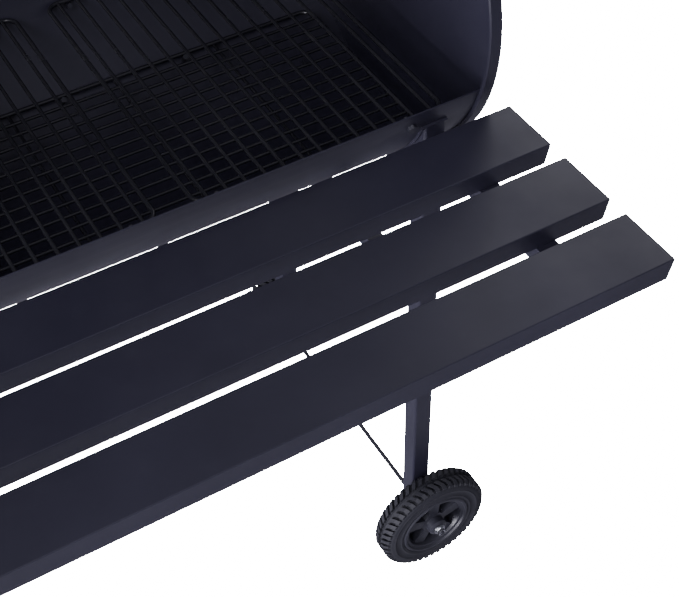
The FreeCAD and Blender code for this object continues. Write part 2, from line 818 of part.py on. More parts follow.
def collar():
    """Duct between barrel and firebox with the flange that lies between them."""
    x0, x1 = firebox_right - sheet - collar_stub, -half + sheet + collar_stub
    body = rod(collar_axis(x0), collar_axis(x1), collar_radius)
    flange = rod(collar_axis(firebox_right), collar_axis(-half), collar_radius + collar_flange)
    return union([body, flange]).cut(rod(collar_axis(x0), collar_axis(x1),
                                         collar_radius - collar_wall))


def collar_bolt_places():
    """Centres of the bolts through the duct's flange, in the flange's plane."""
    circle = collar_radius + collar_flange / 2
    return [polar(circle, 45 + 360 / collar_bolts * i, 0, axis_z - collar_below)
            for i in range(collar_bolts)]


def collar_bolts_solids():
    """Bolts that clamp the two end caps on the duct's flange."""
    length = firebox_gap + 2 * sheet + frame_nut + 1
    return [bolt(V(-half + sheet, y, z), V(1, 0, 0), collar_bolt_radius, collar_bolt_flats,
                 frame_bolt_head, length, frame_nut, 1) for y, z in collar_bolt_places()]


def collar_holes(shape):
    """Duct opening and bolt holes."""
    for y, z in collar_bolt_places():
        shape = shape.cut(rod(V(firebox_right - sheet, y, z), V(-half + sheet, y, z),
                              collar_bolt_radius))
    return shape


def chimney_elbow():
    """Mounting plate and bend that lead smoke out of the wheeled end."""
    y, z = chimney_y, axis_z + chimney_z
    start = V(half, y, z)
    bend_start = V(half + chimney_stub, y, z)
    bend_end = V(half + chimney_stub + chimney_bend, y, z + chimney_bend)
    turn = chimney_bend * math.sin(math.radians(45))
    middle = V(bend_start.x + turn, y, z + chimney_bend - turn)
    end = bend_end + V(0, 0, chimney_sleeve)
    path = Part.Wire([Part.makeLine(start, bend_start),
                      Part.Arc(bend_start, middle, bend_end).toShape(),
                      Part.makeLine(bend_end, end)])
    outer = chimney_radius - chimney_wall - running
    sections = []
    for radius in (outer, outer - chimney_wall):
        circle = Part.Face(Part.Wire(Part.makeCircle(radius, start, V(1, 0, 0))))
        sections.append(path.makePipe(circle))
    plate = rod(start, start + V(chimney_plate_thick, 0, 0), chimney_plate)
    elbow = sections[0].fuse(plate).cut(sections[1])
    return elbow.removeSplitter()


def chimney_bolt_places():
    """Centres of the plate's bolts."""
    circle = (chimney_plate + chimney_radius) / 2
    return [polar(circle, 45 + 360 / chimney_bolts * i, chimney_y, axis_z + chimney_z)
            for i in range(chimney_bolts)]


def chimney_bolts_solids():
    """Bolts that hold the chimney's plate on the end cap."""
    length = chimney_plate_thick + sheet + frame_nut + 1
    return [bolt(V(half + chimney_plate_thick, y, z), V(1, 0, 0), bolt_radius, bolt_head_flats,
                 frame_bolt_head, length, bolt_head_height, 1) for y, z in chimney_bolt_places()]


def chimney_axis():
    """(x, y) of the upright pipe."""
    return half + chimney_stub + chimney_bend, chimney_y


def chimney_pipe():
    """Upright pipe with the boss that its cap turns on."""
    x, y = chimney_axis()
    low, high = axis_z + chimney_z + chimney_bend, axis_z + chimney_top
    pipe = rod(V(x, y, low), V(x, y, high), chimney_radius)
    boss_y = y + chimney_radius + cap_pivot_out
    boss = rod(V(x, boss_y, high - cap_boss_height), V(x, boss_y, high), cap_boss_radius)
    web = box(x - chimney_wall, x + chimney_wall, y, boss_y, high - cap_boss_height, high)
    pipe = union([pipe, boss, web]).cut(rod(V(x, y, low), V(x, y, high), chimney_radius - chimney_wall))
    return pipe.cut(rod(V(x, boss_y, high - cap_boss_height), V(x, boss_y, high), cap_pivot_radius))


def chimney_cap():
    """Flat cap that swings aside on its pivot, with a finger tab."""
    x, y = chimney_axis()
    low = axis_z + chimney_top + touch
    high = low + cap_thick
    boss_y = y + chimney_radius + cap_pivot_out
    plate = rod(V(x, y, low), V(x, y, high), chimney_radius + cap_over)
    ear = rod(V(x, boss_y, low), V(x, boss_y, high), cap_boss_radius)
    neck = box(x - cap_boss_radius, x + cap_boss_radius, y, boss_y, low, high)
    tab = box(x - cap_tab_width / 2, x + cap_tab_width / 2,
              y - chimney_radius - cap_over - cap_tab, y, low, high)
    cap = union([plate, ear, neck, tab])
    return cap.cut(rod(V(x, boss_y, low), V(x, boss_y, high), cap_pivot_radius + running))


def chimney_pivot():
    """Screw that the cap turns on."""
    x, y = chimney_axis()
    boss_y = y + chimney_radius + cap_pivot_out
    low = axis_z + chimney_top - cap_boss_height
    high = axis_z + chimney_top + cap_thick + 2 * touch
    return union([rod(V(x, boss_y, low), V(x, boss_y, high), cap_pivot_radius),
                  rod(V(x, boss_y, high), V(x, boss_y, high + cap_thick), cap_boss_radius)])


def vent_cut(shape, x0, x1):
    """Round draught holes around the vent's pivot."""
    z = firebox_z - vent_below
    for index in range(vent_holes):
        y, hz = polar(vent_hole_circle, 45 + 360 / vent_holes * index, 0, z)
        shape = shape.cut(rod(V(x0, y, hz), V(x1, y, hz), vent_hole_radius))
    return shape


def vent_disc():
    """Turning disc with the same holes, which opens and shuts the draught."""
    x1 = firebox_left - vent_gap
    x0 = x1 - vent_disc_thick
    z = firebox_z - vent_below
    disc = rod(V(x0, 0, z), V(x1, 0, z), vent_disc_radius)
    disc = vent_cut(disc, x0, x1)
    tab = box(x0 - vent_tab, x1, -vent_tab_width / 2, vent_tab_width / 2,
              z + vent_disc_radius - 2 * vent_disc_thick, z + vent_disc_radius - vent_disc_thick)
    disc = union([disc, tab])
    return disc.cut(rod(V(x0, 0, z), V(x1, 0, z), vent_pivot_radius + running))


def vent_pivot():
    """Rivet that holds the vent's disc on the end cap."""
    z = firebox_z - vent_below
    outer = firebox_left - 2 * vent_gap - vent_disc_thick
    inner = firebox_left + sheet
    return union([rod(V(outer, 0, z), V(inner, 0, z), vent_pivot_radius),
                  rod(V(outer - vent_head_height, 0, z), V(outer, 0, z), vent_head_radius),
                  rod(V(inner, 0, z), V(inner + vent_disc_thick, 0, z), vent_head_radius)])


# ---------------------------------------------------------------- the whole object
def barrel_parts():
    """Barrel, its end caps and what is fixed in it."""
    left = end_cap(-half, 1, barrel_radius, axis_z)
    left = collar_holes(left.cut(rod(collar_axis(-half), collar_axis(-half + sheet), collar_radius)))
    right = end_cap(half, -1, barrel_radius, axis_z)
    y, z = chimney_y, axis_z + chimney_z
    inner = chimney_radius - 2 * chimney_wall - running
    right = right.cut(rod(V(half - sheet, y, z), V(half, y, z), inner))
    for by, bz in chimney_bolt_places():
        right = right.cut(rod(V(half - sheet, by, bz), V(half, by, bz), bolt_radius))
    shell = skin(-half, half, barrel_radius, barrel_back, barrel_lip, axis_z)
    bolts = []
    wire = grate_half(skin_inside, grate_level, grate_edge_gap)
    for x in (-rest_outer_x, -rest_inner_x, rest_inner_x, rest_outer_x):
        for rear in (True, False):
            head = rear or abs(x) == rest_outer_x
            bolts.append(rest_bolt(x, wire, grate_level, axis_z, rear, barrel_radius, head))
    wire = grate_half(skin_inside, charcoal_level, charcoal_edge_gap)
    for x in (-rest_charcoal_x, 0, rest_charcoal_x):
        for rear in (True, False):
            bolts.append(rest_bolt(x, wire, charcoal_level, axis_z, rear, barrel_radius))
    for screw in bolts + saddle_bolts():
        shell = shell.cut(screw)
    return {
        "barrel_shell": shell,
        "barrel_end_left": left,
        "barrel_end_right": right,
        "frame_bolts": bolts,
        "charcoal_grate": charcoal_grate(),
        "cooking_grate_left": cooking_grate(-1),
        "cooking_grate_right": cooking_grate(1),
    }


def stand_parts():
    """Legs, straps, feet, axle and wheels."""
    nodes = {
        "leg_brace_left": leg_brace(-1, foot_brace_height),
        "leg_brace_right": leg_brace(1, wheel_brace_height),
        "axle": axle(),
        "axle_washers": axle_washers(),
        "axle_nuts": axle_nuts(),
        "saddle_bolts": saddle_bolts(),
        "saddles": [saddle(side).cut(saddle_bolts()) for side in (-1, 1)],
        "foot_caps": [foot_cap(side) for side in (-1, 1)],
    }
    for side_x, end in ((-1, "left"), (1, "right")):
        for side_y, where in ((-1, "front"), (1, "rear")):
            nodes["leg_" + where + "_" + end] = leg(side_x, side_y)
    for side, where in ((-1, "front"), (1, "rear")):
        nodes["tyre_" + where] = tyre(side)
        nodes["wheel_rim_" + where] = wheel_rim(side)
    return nodes


def shelf_parts():
    """Slats, arms and their bolts."""
    nodes = {"shelf_bolts": shelf_bolts()}
    for index in range(slat_count):
        nodes["shelf_slat_%d" % (index + 1)] = shelf_bolt_holes(slat(index))
    for side, end in ((-1, "left"), (1, "right")):
        nodes["shelf_arm_" + end] = shelf_bolt_holes(shelf_arm(side))
    return nodes


def firebox_parts():
    """Firebox drum, duct, grate and vent."""
    right = end_cap(firebox_right, -1, firebox_radius, firebox_z)
    right = right.cut(rod(collar_axis(firebox_right - sheet), collar_axis(firebox_right), collar_radius))
    left = end_cap(firebox_left, 1, firebox_radius, firebox_z)
    left = vent_cut(left, firebox_left, firebox_left + sheet)
    z = firebox_z - vent_below
    left = left.cut(rod(V(firebox_left, 0, z), V(firebox_left + sheet, 0, z), vent_pivot_radius))
    shell = skin(firebox_left, firebox_right, firebox_radius, firebox_back, firebox_lip, firebox_z)
    bolts = []
    middle = (firebox_left + firebox_right) / 2
    wire = grate_half(firebox_radius - sheet, firebox_grate_level, firebox_grate_edge_gap)
    for x in (middle - rest_firebox_x, middle + rest_firebox_x):
        for rear in (True, False):
            bolts.append(rest_bolt(x, wire, firebox_grate_level, firebox_z, rear, firebox_radius))
    for screw in bolts:
        shell = shell.cut(screw)
    return {
        "firebox_shell": shell,
        "firebox_end_left": left,
        "firebox_end_right": collar_holes(right),
        "firebox_bolts": bolts,
        "firebox_grate": firebox_grate(),
        "collar": collar_holes(collar()),
        "collar_bolts": collar_bolts_solids(),
        "vent_disc": vent_disc(),
        "vent_pivot": vent_pivot(),
    }


def chimney_parts():
    """Chimney with its cap."""
    elbow = chimney_elbow()
    for y, z in chimney_bolt_places():
        elbow = elbow.cut(rod(V(half, y, z), V(half + chimney_plate_thick, y, z), bolt_radius))
    return {
        "chimney_elbow": elbow,
        "chimney_bolts": chimney_bolts_solids(),
        "chimney_pipe": chimney_pipe(),
        "chimney_cap": chimney_cap(),
        "chimney_pivot": chimney_pivot(),
    }


def barrel_lid_parts():
    """Fixed and moving pieces around the barrel's lid, with the lid shut."""
    face = barrel_radius + 2 * touch + rim_thick + sheet
    inside = face - sheet
    shell = lid_shell(-half, half, barrel_radius, barrel_lid_back, barrel_lid_front, axis_z)
    case, dial, needle, lens, nut = gauge(face, inside)
    stem = at(0, inside - gauge_stem, gauge_angle, z=axis_z)
    shell = shell.cut(rod(stem, at(0, face + 1, gauge_angle, z=axis_z), gauge_stem_radius))
    moving = {
        "lid_shell": shell,
        "lid_handle": lid_handle(handle_length, handle_out, handle_angle, handle_radius, face, 0, axis_z),
        "lid_handle_posts": handle_posts(handle_length, handle_post_inset, handle_out, handle_angle,
                                         handle_post_radius, handle_radius, face, 0, axis_z),
        "lid_handle_screws": handle_screws(handle_length, handle_post_inset, handle_angle, inside,
                                           0, axis_z),
        "gauge_case": case,
        "gauge_dial": dial,
        "gauge_pointer": needle,
        "gauge_lens": lens,
        "gauge_nut": nut,
    }
    fixed = {"lid_stops": [lid_stop(-1), lid_stop(1)]}
    leaves = [hinge(side * (half - hinge_inset), barrel_radius, barrel_lid_back, axis_z)
              for side in (-1, 1)]
    fixed["hinge_leaves"] = [leaf[0] for leaf in leaves]
    moving["lid_hinge_moving"] = [leaf[1] for leaf in leaves]
    fixed["hinge_pins"] = [leaf[2] for leaf in leaves]
    return fixed, moving


def firebox_lid_parts():
    """Fixed and moving pieces around the firebox's lid."""
    face = firebox_radius + 2 * touch + rim_thick + sheet
    middle = (firebox_left + firebox_right) / 2
    nodes = {
        "firebox_lid": lid_shell(firebox_left, firebox_right, firebox_radius, firebox_lid_back,
                                 firebox_lid_front, firebox_z),
        "firebox_handle": lid_handle(firebox_handle_length, firebox_handle_out, firebox_handle_angle,
                                     firebox_handle_radius, face, middle, firebox_z),
        "firebox_handle_posts": handle_posts(firebox_handle_length, firebox_post_inset,
                                             firebox_handle_out, firebox_handle_angle,
                                             firebox_post_radius, firebox_handle_radius, face,
                                             middle, firebox_z),
    }
    leaf = hinge(middle, firebox_radius, firebox_lid_back, firebox_z)
    nodes["firebox_hinge_moving"] = leaf[1]
    return [leaf[0]], [leaf[2]], nodes


def as_list(shapes):
    """A node's solids, whether it has one or several."""
    return shapes if isinstance(shapes, list) else [shapes]


def opened(nodes):
    """The lid's pieces turned to where the lid rests when open."""
    y, z = hinge_axis(barrel_radius, barrel_lid_back, axis_z)
    result = {}
    for name, shapes in nodes.items():
        result[name] = []
        for shape in as_list(shapes):
            piece = shape.copy()
            piece.rotate(V(0, y, z), V(1, 0, 0), -barrel_lid_open)
            result[name].append(piece)
    return result


def all_nodes():
    """Every node of the smoker in the working frame, whose origin is under the barrel."""
    nodes = {}
    fixed, moving = barrel_lid_parts()
    leaves, pins, firebox_lid = firebox_lid_parts()
    fixed["hinge_leaves"] += leaves
    fixed["hinge_pins"] += pins
    for group in (barrel_parts(), stand_parts(), shelf_parts(), firebox_parts(), chimney_parts(),
                  fixed, opened(moving), firebox_lid):
        nodes.update(group)
    for group in ("firebox_bolts", "saddle_bolts", "collar_bolts"):
        nodes["frame_bolts"] += nodes.pop(group)
    return {name: Part.Compound(as_list(shapes)) for name, shapes in nodes.items()}


def base_centre(nodes):
    """Centre of the whole object's box, on the ground."""
    whole = Part.Compound(list(nodes.values())).optimalBoundingBox()
    return V((whole.XMin + whole.XMax) / 2, (whole.YMin + whole.YMax) / 2, whole.ZMin)


def main():
    """Write one STEP file per node, with the origin at the base's centre."""
    os.makedirs("parts", exist_ok=True)
    nodes = all_nodes()
    origin = base_centre(nodes)
    for name, shape in nodes.items():
        shape.translate(origin * -1)
        solid = shape.Solids[0] if len(shape.Solids) == 1 else shape
        solid.exportStep("parts/%s.step" % name)


if __name__ == "__main__":
    main()
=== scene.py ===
"""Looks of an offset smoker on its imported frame.

The CAD pieces keep their shapes and take the finishes below.  The wheels' tread and spokes,
the weld beads and the thermometer's scale are modelled here.  Lengths are in metres.
"""

import json
import logging
import math
from dataclasses import dataclass, field
from enum import Enum
from typing import Dict, List, Sequence, Tuple

import bpy
from mathutils import Matrix, Vector

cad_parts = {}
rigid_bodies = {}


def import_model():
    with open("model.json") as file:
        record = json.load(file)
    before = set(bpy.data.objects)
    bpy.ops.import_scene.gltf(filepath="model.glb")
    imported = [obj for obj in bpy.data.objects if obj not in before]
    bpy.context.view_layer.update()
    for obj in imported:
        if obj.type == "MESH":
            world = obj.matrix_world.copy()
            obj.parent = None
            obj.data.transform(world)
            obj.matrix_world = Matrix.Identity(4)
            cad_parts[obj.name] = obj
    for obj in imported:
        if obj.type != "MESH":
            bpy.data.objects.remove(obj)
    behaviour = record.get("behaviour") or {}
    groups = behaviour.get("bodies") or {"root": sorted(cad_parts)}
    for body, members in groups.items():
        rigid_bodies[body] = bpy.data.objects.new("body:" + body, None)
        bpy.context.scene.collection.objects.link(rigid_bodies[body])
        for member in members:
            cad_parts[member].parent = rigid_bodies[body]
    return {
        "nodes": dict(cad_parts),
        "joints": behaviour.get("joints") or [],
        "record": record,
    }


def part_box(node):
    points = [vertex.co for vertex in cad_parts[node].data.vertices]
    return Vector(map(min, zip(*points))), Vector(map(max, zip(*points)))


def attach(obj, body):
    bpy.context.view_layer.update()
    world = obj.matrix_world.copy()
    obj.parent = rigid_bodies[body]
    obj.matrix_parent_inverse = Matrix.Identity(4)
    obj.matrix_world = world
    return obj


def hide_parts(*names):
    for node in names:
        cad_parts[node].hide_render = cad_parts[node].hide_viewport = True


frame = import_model()

Color = Tuple[float, float, float]
Profile = Sequence[Tuple[float, float]]    # an outline's corners
Part = Tuple[List[Vector], List[List[int]]]    # points, and faces as point numbers
log = logging.getLogger("smoker")

# Places of a colour Mix node's sockets, whose names its other data types share.
MIX_FACTOR, MIX_A, MIX_B, MIX_RESULT = 0, 6, 7, 2
COAT_ROUGHNESS = 0.25


# ------------------------------------------------------------------ node helpers
def add(tree: bpy.types.NodeTree, kind: str, **settings: object) -> bpy.types.Node:
    """Add a node and set its properties.

    Args:
        tree: tree the node goes in.
        kind: node type.
        settings: property names and values.

    Returns:
        The new node.
    """
    node = tree.nodes.new(kind)
    for name, value in settings.items():
        setattr(node, name, value)
    return node


def wire(tree: bpy.types.NodeTree, source: bpy.types.NodeSocket,
         target: bpy.types.NodeSocket) -> None:
    """Link an output to an input.

    Args:
        tree: tree that holds both.
        source: output socket.
        target: input socket.
    """
    tree.links.new(source, target)


def tint(color: Color) -> Tuple[float, float, float, float]:
    """Colour with full alpha.

    Args:
        color: red, green and blue.

    Returns:
        The four values.
    """
    return (color[0], color[1], color[2], 1.0)


class EffectGroups:
    """Shader groups that several finishes share, each built once.

    The bands are the noise values that become the low and the high end of an effect.
    """

    DRIFT_BAND = (0.35, 0.65)
    GLOSS_BAND = (0.3, 0.7)
    SPOT_BAND = (0.55, 0.8)

    def __init__(self) -> None:
        """Build the groups."""
        self.tone = self._tone()
        self.grain = self._grain()
        self.spread = self._spread()
        self.rub = self._rub()

    @staticmethod
    def _start(name: str, inputs: Sequence[Tuple[str, str, object]],
               output: Tuple[str, str]
               ) -> Tuple[bpy.types.NodeTree, bpy.types.Node, bpy.types.Node]:
        """Open a shader group with its sockets.

        Args:
            name: the group's name.
            inputs: name, socket type and default of each input.
            output: name and socket type of the output.

        Returns:
            The tree, its input node and its output node.
        """
        tree = bpy.data.node_groups.new(name, "ShaderNodeTree")
        for label, kind, value in inputs:
            socket = tree.interface.new_socket(label, in_out="INPUT", socket_type=kind)
            socket.default_value = value
        tree.interface.new_socket(output[0], in_out="OUTPUT", socket_type=output[1])
        return tree, add(tree, "NodeGroupInput"), add(tree, "NodeGroupOutput")

    @staticmethod
    def _noise(tree: bpy.types.NodeTree, scale: bpy.types.NodeSocket, detail: float,
               stretch: object = None) -> bpy.types.NodeSocket:
        """Noise on the piece's own coordinates.

        Args:
            tree: tree to build in.
            scale: socket that gives the scale.
            detail: noise detail.
            stretch: vector socket that scales each axis, or None.

        Returns:
            The noise value's socket.
        """
        where = add(tree, "ShaderNodeTexCoord").outputs["Object"]
        if stretch is not None:
            warp = add(tree, "ShaderNodeVectorMath", operation="MULTIPLY")
            wire(tree, where, warp.inputs[0])
            wire(tree, stretch, warp.inputs[1])
            where = warp.outputs[0]
        noise = add(tree, "ShaderNodeTexNoise")
        noise.inputs["Detail"].default_value = detail
        wire(tree, where, noise.inputs["Vector"])
        wire(tree, scale, noise.inputs["Scale"])
        return noise.outputs["Fac"]

    @staticmethod
    def _widen(tree: bpy.types.NodeTree, noise: bpy.types.NodeSocket,
               band: Tuple[float, float]) -> bpy.types.Node:
        """Spread a band of noise over a whole range.

        Args:
            tree: tree to build in.
            noise: the noise value's socket.
            band: noise values that become the range's two ends.

        Returns:
            The Map Range node.
        """
        ramp = add(tree, "ShaderNodeMapRange")
        ramp.inputs["From Min"].default_value, ramp.inputs["From Max"].default_value = band
        wire(tree, noise, ramp.inputs["Value"])
        return ramp

    def _tone(self) -> bpy.types.NodeTree:
        """Slow drift between two colours.

        Returns:
            The group.
        """
        tree, entry, leave = self._start("tone_drift", [
            ("Tone A", "NodeSocketColor", (0.5, 0.5, 0.5, 1.0)),
            ("Tone B", "NodeSocketColor", (0.4, 0.4, 0.4, 1.0)),
            ("Scale", "NodeSocketFloat", 6.0)], ("Color", "NodeSocketColor"))
        noise = self._noise(tree, entry.outputs["Scale"], detail=5.0)
        ramp = self._widen(tree, noise, self.DRIFT_BAND)
        mix = add(tree, "ShaderNodeMix", data_type="RGBA")
        wire(tree, ramp.outputs[0], mix.inputs[MIX_FACTOR])
        wire(tree, entry.outputs["Tone A"], mix.inputs[MIX_A])
        wire(tree, entry.outputs["Tone B"], mix.inputs[MIX_B])
        wire(tree, mix.outputs[MIX_RESULT], leave.inputs[0])
        return tree

    def _grain(self) -> bpy.types.NodeTree:
        """Fine texture over broad unevenness.

        Returns:
            The group.
        """
        tree, entry, leave = self._start("surface_grain", [
            ("Fine Scale", "NodeSocketFloat", 900.0),
            ("Fine Depth", "NodeSocketFloat", 0.00003),
            ("Broad Scale", "NodeSocketFloat", 8.0),
            ("Broad Depth", "NodeSocketFloat", 0.0004),
            ("Stretch", "NodeSocketVector", (1.0, 1.0, 1.0))], ("Normal", "NodeSocketVector"))
        broad = add(tree, "ShaderNodeBump")
        unevenness = self._noise(tree, entry.outputs["Broad Scale"], detail=1.0)
        wire(tree, unevenness, broad.inputs["Height"])
        wire(tree, entry.outputs["Broad Depth"], broad.inputs["Distance"])
        fine = add(tree, "ShaderNodeBump")
        texture = self._noise(tree, entry.outputs["Fine Scale"], detail=2.0,
                              stretch=entry.outputs["Stretch"])
        wire(tree, texture, fine.inputs["Height"])
        wire(tree, entry.outputs["Fine Depth"], fine.inputs["Distance"])
        wire(tree, broad.outputs["Normal"], fine.inputs["Normal"])
        wire(tree, fine.outputs["Normal"], leave.inputs[0])
        return tree

    def _spread(self) -> bpy.types.NodeTree:
        """Roughness that wanders between two values.

        Returns:
            The group.
        """
        tree, entry, leave = self._start("gloss_spread", [
            ("Low", "NodeSocketFloat", 0.3),
            ("High", "NodeSocketFloat", 0.5),
            ("Scale", "NodeSocketFloat", 14.0)], ("Roughness", "NodeSocketFloat"))
        noise = self._noise(tree, entry.outputs["Scale"], detail=6.0)
        ramp = self._widen(tree, noise, self.GLOSS_BAND)
        wire(tree, entry.outputs["Low"], ramp.inputs["To Min"])
        wire(tree, entry.outputs["High"], ramp.inputs["To Max"])
        wire(tree, ramp.outputs[0], leave.inputs[0])
        return tree

    def _rub(self) -> bpy.types.NodeTree:
        """Small rubbed, dusty or stained spots.

        Returns:
            The group.
        """
        tree, entry, leave = self._start("rubbed_spots", [
            ("Scale", "NodeSocketFloat", 40.0),
            ("Amount", "NodeSocketFloat", 0.1)], ("Mask", "NodeSocketFloat"))
        noise = self._noise(tree, entry.outputs["Scale"], detail=8.0)
        ramp = self._widen(tree, noise, self.SPOT_BAND)
        scale = add(tree, "ShaderNodeMath", operation="MULTIPLY")
        wire(tree, ramp.outputs[0], scale.inputs[0])
        wire(tree, entry.outputs["Amount"], scale.inputs[1])
        wire(tree, scale.outputs[0], leave.inputs[0])
        return tree


@dataclass(frozen=True)
class Finish:
    """A surface finish and how it varies.

    Attributes:
        base: main colour.
        drift: colour it drifts to.
        spots: colour of rubbed or dusty spots.
        spot_amount: how strongly the spots show.
        rough: lowest and highest roughness.
        metallic: 1 for bare metal.
        coat: clear coat weight.
        fine: scale and depth of the fine grain.
        broad: scale and depth of the unevenness.
        stretch: stretch of the fine grain along X, Y and Z.
        clear: transmission weight.
        shine: strength of the mirror-like part, 0.5 for ordinary paint.
    """

    base: Color
    drift: Color
    spots: Color
    spot_amount: float = 0.1
    rough: Tuple[float, float] = (0.35, 0.5)
    metallic: float = 0.0
    coat: float = 0.0
    fine: Tuple[float, float] = (900.0, 0.00003)
    broad: Tuple[float, float] = (8.0, 0.0003)
    stretch: Tuple[float, float, float] = (1.0, 1.0, 1.0)
    clear: float = 0.0
    shine: float = 0.5

    def material(self, name: str, groups: EffectGroups) -> bpy.types.Material:
        """Build the finish's material.

        Args:
            name: material name.
            groups: shared effects.

        Returns:
            The material.
        """
        made = bpy.data.materials.new(name)
        made.use_nodes = True
        tree = made.node_tree
        shader = tree.nodes["Principled BSDF"]
        shader.inputs["Metallic"].default_value = self.metallic
        shader.inputs["Coat Weight"].default_value = self.coat
        shader.inputs["Coat Roughness"].default_value = COAT_ROUGHNESS
        shader.inputs["Specular IOR Level"].default_value = self.shine
        shader.inputs["Transmission Weight"].default_value = self.clear
        tone = add(tree, "ShaderNodeGroup", node_tree=groups.tone)
        tone.inputs["Tone A"].default_value = tint(self.base)
        tone.inputs["Tone B"].default_value = tint(self.drift)
        rub = add(tree, "ShaderNodeGroup", node_tree=groups.rub)
        rub.inputs["Amount"].default_value = self.spot_amount
        mix = add(tree, "ShaderNodeMix", data_type="RGBA")
        mix.inputs[MIX_B].default_value = tint(self.spots)
        wire(tree, rub.outputs[0], mix.inputs[MIX_FACTOR])
        wire(tree, tone.outputs[0], mix.inputs[MIX_A])
        wire(tree, mix.outputs[MIX_RESULT], shader.inputs["Base Color"])
        spread = add(tree, "ShaderNodeGroup", node_tree=groups.spread)
        spread.inputs["Low"].default_value, spread.inputs["High"].default_value = self.rough
        wire(tree, spread.outputs[0], shader.inputs["Roughness"])
        grain = add(tree, "ShaderNodeGroup", node_tree=groups.grain)
        for size, (scale, depth) in (("Fine", self.fine), ("Broad", self.broad)):
            grain.inputs[size + " Scale"].default_value = scale
            grain.inputs[size + " Depth"].default_value = depth
        grain.inputs["Stretch"].default_value = self.stretch
        wire(tree, grain.outputs[0], shader.inputs["Normal"])
        return made


class Look(Enum):
    """The record's material slots."""

    POWDER = "powder_coat"
    TYRE = "tyre"
    RIM = "rim_plastic"
    FOOT = "black_plastic"
    ZINC = "zinc_steel"
    AXLE = "black_steel"
    GRATE = "grate_enamel"
    COALS = "grate_steel"
    LENS = "gauge_glass"
    DIAL = "gauge_dial"
    POINTER = "gauge_pointer"
    GRIP = "handle_grip"


FINISHES: Dict[Look, Finish] = {
    Look.POWDER: Finish(
        base=(0.017, 0.016, 0.028), drift=(0.023, 0.022, 0.037), spots=(0.05, 0.05, 0.065),
        spot_amount=0.08, rough=(0.34, 0.44), fine=(1100.0, 0.00003), broad=(7.0, 0.0005)),
    Look.TYRE: Finish(
        base=(0.012, 0.012, 0.017), drift=(0.018, 0.018, 0.025), spots=(0.08, 0.078, 0.08),
        spot_amount=0.16, rough=(0.55, 0.75), fine=(1500.0, 0.00005), broad=(40.0, 0.0001)),
    Look.RIM: Finish(
        base=(0.017, 0.017, 0.024), drift=(0.024, 0.024, 0.033), spots=(0.08, 0.08, 0.08),
        spot_amount=0.12, rough=(0.35, 0.5), fine=(1300.0, 0.00004), broad=(30.0, 0.0001)),
    Look.FOOT: Finish(
        base=(0.018, 0.018, 0.018), drift=(0.028, 0.028, 0.028), spots=(0.10, 0.09, 0.08),
        spot_amount=0.2, rough=(0.45, 0.65), fine=(900.0, 0.00006), broad=(30.0, 0.0001)),
    Look.ZINC: Finish(
        base=(0.62, 0.62, 0.60), drift=(0.52, 0.53, 0.55), spots=(0.30, 0.27, 0.22),
        spot_amount=0.25, rough=(0.22, 0.42), metallic=1.0, fine=(1800.0, 0.00003),
        broad=(60.0, 0.0001)),
    Look.AXLE: Finish(
        base=(0.013, 0.013, 0.020), drift=(0.020, 0.020, 0.029), spots=(0.08, 0.08, 0.09),
        spot_amount=0.12, rough=(0.3, 0.45), fine=(1000.0, 0.00003), stretch=(1.0, 0.1, 1.0)),
    Look.GRATE: Finish(
        base=(0.012, 0.012, 0.015), drift=(0.020, 0.020, 0.024), spots=(0.07, 0.065, 0.06),
        spot_amount=0.15, rough=(0.18, 0.30), fine=(1500.0, 0.00002), broad=(50.0, 0.0001),
        stretch=(1.0, 0.1, 1.0), shine=0.28),
    Look.COALS: Finish(
        base=(0.009, 0.009, 0.012), drift=(0.015, 0.015, 0.019), spots=(0.06, 0.06, 0.065),
        spot_amount=0.15, rough=(0.20, 0.30), shine=0.7, fine=(900.0, 0.00003),
        broad=(50.0, 0.0001)),
    Look.LENS: Finish(
        base=(0.96, 0.98, 0.98), drift=(0.93, 0.96, 0.97), spots=(0.85, 0.86, 0.85),
        spot_amount=0.15, rough=(0.02, 0.06), fine=(300.0, 0.000003), broad=(20.0, 0.00002),
        clear=1.0),
    Look.DIAL: Finish(
        base=(0.80, 0.80, 0.77), drift=(0.74, 0.74, 0.71), spots=(0.60, 0.58, 0.54),
        spot_amount=0.15, rough=(0.4, 0.55), fine=(1200.0, 0.00002), broad=(30.0, 0.00005)),
    Look.POINTER: Finish(
        base=(0.50, 0.04, 0.03), drift=(0.42, 0.03, 0.02), spots=(0.25, 0.03, 0.02),
        spot_amount=0.15, rough=(0.3, 0.45), fine=(1200.0, 0.00002), broad=(30.0, 0.00005)),
    Look.GRIP: Finish(
        base=(0.66, 0.66, 0.67), drift=(0.58, 0.58, 0.60), spots=(0.30, 0.29, 0.28),
        spot_amount=0.12, rough=(0.12, 0.25), metallic=1.0, fine=(1600.0, 0.00002),
        broad=(20.0, 0.0001), stretch=(0.1, 1.0, 1.0)),
}
MARKS = Finish(
    base=(0.03, 0.03, 0.03), drift=(0.05, 0.05, 0.05), spots=(0.12, 0.12, 0.12), spot_amount=0.1,
    rough=(0.4, 0.6))


# ------------------------------------------------------------------ mesh helpers
def mesh_object(name: str, points: Sequence[Sequence[float]], faces: Sequence[Sequence[int]],
                material: bpy.types.Material) -> bpy.types.Object:
    """Make a mesh object at the origin.

    Args:
        name: object name.
        points: vertices.
        faces: faces as vertex numbers.
        material: its only material.

    Returns:
        The linked object.
    """
    mesh = bpy.data.meshes.new(name)
    mesh.from_pydata([tuple(p) for p in points], [], [tuple(f) for f in faces])
    mesh.materials.append(material)
    mesh.validate()
    made = bpy.data.objects.new(name, mesh)
    bpy.context.scene.collection.objects.link(made)
    return made


